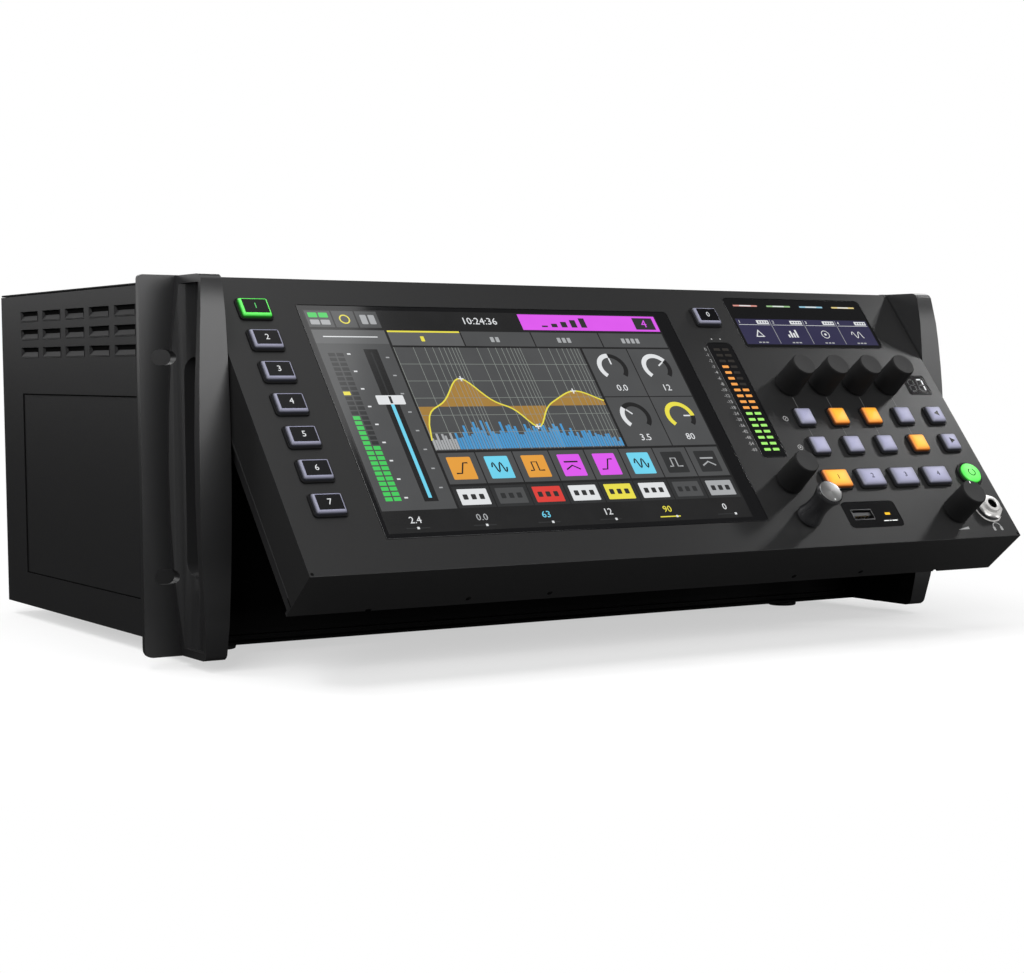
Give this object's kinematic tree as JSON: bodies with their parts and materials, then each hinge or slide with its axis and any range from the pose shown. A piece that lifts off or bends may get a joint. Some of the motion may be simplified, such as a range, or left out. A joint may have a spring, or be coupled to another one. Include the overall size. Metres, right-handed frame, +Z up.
{
  "type": "mixing console",
  "caption": "Rack-mount digital mixing console with a tilt-out control panel, touch screen, keys, rotary knobs, level meter and rear sockets.",
  "frame": {"origin": "on the table under the feet, below the middle of the overall box", "axes": "+X to the viewer's right across the rack, +Y from the front to the rear, +Z up; the front faces -Y"},
  "size_m": [0.4826, 0.3822, 0.1818],
  "materials": {
    "paint": "fine textured matte black paint",
    "ear_paint": "satin black powder coat on cast metal",
    "panel_paint": "fine textured matte dark grey paint",
    "steel": "plain zinc plated",
    "supply": "plain folded case",
    "rubber": "matte",
    "glass": "gloss black display glass",
    "module": "display module frame",
    "gloss": "gloss black",
    "chrome": "bright",
    "board": "circuit board",
    "plastic": "moulded black",
    "key": "translucent lavender grey",
    "amber_key": "lit amber",
    "green_key": "lit green",
    "knob": "soft touch matte black"
  },
  "bodies": {
    "chassis": {"chassis_tray": "paint", "top_cover": "paint", "rear_panel": "paint", "front_bulkhead": "paint", "left_ear": "ear_paint", "right_ear": "ear_paint", "foot_front_left": "rubber", "foot_front_right": "rubber", "foot_rear_left": "rubber", "foot_rear_right": "rubber", "main_board": "board", "power_supply": "supply", "input_block": "plastic", "output_block": "plastic", "network_block": "plastic", "mains_inlet": "plastic", "left_hinge_pin": "steel", "right_hinge_pin": "steel"},
    "tilt_panel": {"front_panel": "panel_paint", "panel_back": "paint", "touch_screen": "glass", "display_module": "module", "scribble_display": "glass", "meter_lens": "glass", "layer_display": "glass", "usb_socket": "gloss", "headphone_jack": "chrome", "jack_nut": "chrome", "control_board": "board"},
    "page_key_1_body": {"page_key_1": "green_key"},
    "page_key_2_body": {"page_key_2": "key"},
    "page_key_3_body": {"page_key_3": "key"},
    "page_key_4_body": {"page_key_4": "key"},
    "page_key_5_body": {"page_key_5": "key"},
    "page_key_6_body": {"page_key_6": "key"},
    "page_key_7_body": {"page_key_7": "key"},
    "clear_key_body": {"clear_key": "key"},
    "mute_key_1_body": {"mute_key_1": "key"},
    "mute_key_2_body": {"mute_key_2": "amber_key"},
    "mute_key_3_body": {"mute_key_3": "amber_key"},
    "mute_key_4_body": {"mute_key_4": "key"},
    "mute_key_5_body": {"mute_key_5": "key"},
    "solo_key_1_body": {"solo_key_1": "key"},
    "solo_key_2_body": {"solo_key_2": "key"},
    "solo_key_3_body": {"solo_key_3": "key"},
    "solo_key_4_body": {"solo_key_4": "amber_key"},
    "solo_key_5_body": {"solo_key_5": "key"},
    "bank_key_1_body": {"bank_key_1": "amber_key"},
    "bank_key_2_body": {"bank_key_2": "key"},
    "bank_key_3_body": {"bank_key_3": "key"},
    "bank_key_4_body": {"bank_key_4": "key"},
    "round_key_body": {"round_key": "green_key"},
    "encoder_1_body": {"encoder_1": "knob"},
    "encoder_2_body": {"encoder_2": "knob"},
    "encoder_3_body": {"encoder_3": "knob"},
    "encoder_4_body": {"encoder_4": "knob"},
    "select_encoder_body": {"select_encoder": "knob"},
    "main_encoder_body": {"main_encoder": "knob"},
    "level_knob_body": {"level_knob": "knob"},
    "power_switch_body": {"power_switch": "plastic"}
  },
  "joints": [
    {"name": "panel_tilt", "type": "hinge", "parent": "chassis", "child": "tilt_panel", "pos_m": [0, -0.07014, 0.17485], "axis": [1, 0, 0], "range_deg": [0, 39.8]},
    {"name": "page_key_1_press", "type": "slide", "parent": "tilt_panel", "child": "page_key_1_body", "axis": [0, 0.7683, -0.6401], "range_m": [0, 0.0008], "stiffness_N_per_m": 1200, "springref_m": -0.0004},
    {"name": "page_key_2_press", "type": "slide", "parent": "tilt_panel", "child": "page_key_2_body", "axis": [0, 0.7683, -0.6401], "range_m": [0, 0.0008], "stiffness_N_per_m": 1200, "springref_m": -0.0004},
    {"name": "page_key_3_press", "type": "slide", "parent": "tilt_panel", "child": "page_key_3_body", "axis": [0, 0.7683, -0.6401], "range_m": [0, 0.0008], "stiffness_N_per_m": 1200, "springref_m": -0.0004},
    {"name": "page_key_4_press", "type": "slide", "parent": "tilt_panel", "child": "page_key_4_body", "axis": [0, 0.7683, -0.6401], "range_m": [0, 0.0008], "stiffness_N_per_m": 1200, "springref_m": -0.0004},
    {"name": "page_key_5_press", "type": "slide", "parent": "tilt_panel", "child": "page_key_5_body", "axis": [0, 0.7683, -0.6401], "range_m": [0, 0.0008], "stiffness_N_per_m": 1200, "springref_m": -0.0004},
    {"name": "page_key_6_press", "type": "slide", "parent": "tilt_panel", "child": "page_key_6_body", "axis": [0, 0.7683, -0.6401], "range_m": [0, 0.0008], "stiffness_N_per_m": 1200, "springref_m": -0.0004},
    {"name": "page_key_7_press", "type": "slide", "parent": "tilt_panel", "child": "page_key_7_body", "axis": [0, 0.7683, -0.6401], "range_m": [0, 0.0008], "stiffness_N_per_m": 1200, "springref_m": -0.0004},
    {"name": "clear_key_press", "type": "slide", "parent": "tilt_panel", "child": "clear_key_body", "axis": [0, 0.7683, -0.6401], "range_m": [0, 0.0008], "stiffness_N_per_m": 1200, "springref_m": -0.0004},
    {"name": "mute_key_1_press", "type": "slide", "parent": "tilt_panel", "child": "mute_key_1_body", "axis": [0, 0.7683, -0.6401], "range_m": [0, 0.0008], "stiffness_N_per_m": 1200, "springref_m": -0.0004},
    {"name": "mute_key_2_press", "type": "slide", "parent": "tilt_panel", "child": "mute_key_2_body", "axis": [0, 0.7683, -0.6401], "range_m": [0, 0.0008], "stiffness_N_per_m": 1200, "springref_m": -0.0004},
    {"name": "mute_key_3_press", "type": "slide", "parent": "tilt_panel", "child": "mute_key_3_body", "axis": [0, 0.7683, -0.6401], "range_m": [0, 0.0008], "stiffness_N_per_m": 1200, "springref_m": -0.0004},
    {"name": "mute_key_4_press", "type": "slide", "parent": "tilt_panel", "child": "mute_key_4_body", "axis": [0, 0.7683, -0.6401], "range_m": [0, 0.0008], "stiffness_N_per_m": 1200, "springref_m": -0.0004},
    {"name": "mute_key_5_press", "type": "slide", "parent": "tilt_panel", "child": "mute_key_5_body", "axis": [0, 0.7683, -0.6401], "range_m": [0, 0.0008], "stiffness_N_per_m": 1200, "springref_m": -0.0004},
    {"name": "solo_key_1_press", "type": "slide", "parent": "tilt_panel", "child": "solo_key_1_body", "axis": [0, 0.7683, -0.6401], "range_m": [0, 0.0008], "stiffness_N_per_m": 1200, "springref_m": -0.0004},
    {"name": "solo_key_2_press", "type": "slide", "parent": "tilt_panel", "child": "solo_key_2_body", "axis": [0, 0.7683, -0.6401], "range_m": [0, 0.0008], "stiffness_N_per_m": 1200, "springref_m": -0.0004},
    {"name": "solo_key_3_press", "type": "slide", "parent": "tilt_panel", "child": "solo_key_3_body", "axis": [0, 0.7683, -0.6401], "range_m": [0, 0.0008], "stiffness_N_per_m": 1200, "springref_m": -0.0004},
    {"name": "solo_key_4_press", "type": "slide", "parent": "tilt_panel", "child": "solo_key_4_body", "axis": [0, 0.7683, -0.6401], "range_m": [0, 0.0008], "stiffness_N_per_m": 1200, "springref_m": -0.0004},
    {"name": "solo_key_5_press", "type": "slide", "parent": "tilt_panel", "child": "solo_key_5_body", "axis": [0, 0.7683, -0.6401], "range_m": [0, 0.0008], "stiffness_N_per_m": 1200, "springref_m": -0.0004},
    {"name": "bank_key_1_press", "type": "slide", "parent": "tilt_panel", "child": "bank_key_1_body", "axis": [0, 0.7683, -0.6401], "range_m": [0, 0.0008], "stiffness_N_per_m": 1200, "springref_m": -0.0004},
    {"name": "bank_key_2_press", "type": "slide", "parent": "tilt_panel", "child": "bank_key_2_body", "axis": [0, 0.7683, -0.6401], "range_m": [0, 0.0008], "stiffness_N_per_m": 1200, "springref_m": -0.0004},
    {"name": "bank_key_3_press", "type": "slide", "parent": "tilt_panel", "child": "bank_key_3_body", "axis": [0, 0.7683, -0.6401], "range_m": [0, 0.0008], "stiffness_N_per_m": 1200, "springref_m": -0.0004},
    {"name": "bank_key_4_press", "type": "slide", "parent": "tilt_panel", "child": "bank_key_4_body", "axis": [0, 0.7683, -0.6401], "range_m": [0, 0.0008], "stiffness_N_per_m": 1200, "springref_m": -0.0004},
    {"name": "round_key_press", "type": "slide", "parent": "tilt_panel", "child": "round_key_body", "axis": [0, 0.7683, -0.6401], "range_m": [0, 0.0008], "stiffness_N_per_m": 1200, "springref_m": -0.0004},
    {"name": "encoder_1_turn", "type": "hinge", "parent": "tilt_panel", "child": "encoder_1_body", "pos_m": [0.1041, -0.11521, 0.13014], "axis": [0, -0.7683, 0.6401], "continuous": true},
    {"name": "encoder_2_turn", "type": "hinge", "parent": "tilt_panel", "child": "encoder_2_body", "pos_m": [0.1274, -0.11521, 0.13014], "axis": [0, -0.7683, 0.6401], "continuous": true},
    {"name": "encoder_3_turn", "type": "hinge", "parent": "tilt_panel", "child": "encoder_3_body", "pos_m": [0.1507, -0.11521, 0.13014], "axis": [0, -0.7683, 0.6401], "continuous": true},
    {"name": "encoder_4_turn", "type": "hinge", "parent": "tilt_panel", "child": "encoder_4_body", "pos_m": [0.174, -0.11521, 0.13014], "axis": [0, -0.7683, 0.6401], "continuous": true},
    {"name": "select_encoder_turn", "type": "hinge", "parent": "tilt_panel", "child": "select_encoder_body", "pos_m": [0.0724, -0.15563, 0.08162], "axis": [0, -0.7683, 0.6401], "continuous": true},
    {"name": "main_encoder_turn", "type": "hinge", "parent": "tilt_panel", "child": "main_encoder_body", "pos_m": [0.0735, -0.16968, 0.06475], "axis": [0, -0.7683, 0.6401], "continuous": true},
    {"name": "level_knob_turn", "type": "hinge", "parent": "tilt_panel", "child": "level_knob_body", "pos_m": [0.174, -0.17045, 0.06383], "axis": [0, -0.7683, 0.6401], "range_deg": [-150, 150]},
    {"name": "power_switch_rock", "type": "hinge", "parent": "chassis", "child": "power_switch_body", "pos_m": [0.178, 0.18666, 0.0702], "axis": [1, 0, 0], "range_deg": [0, 16]}
  ]
}
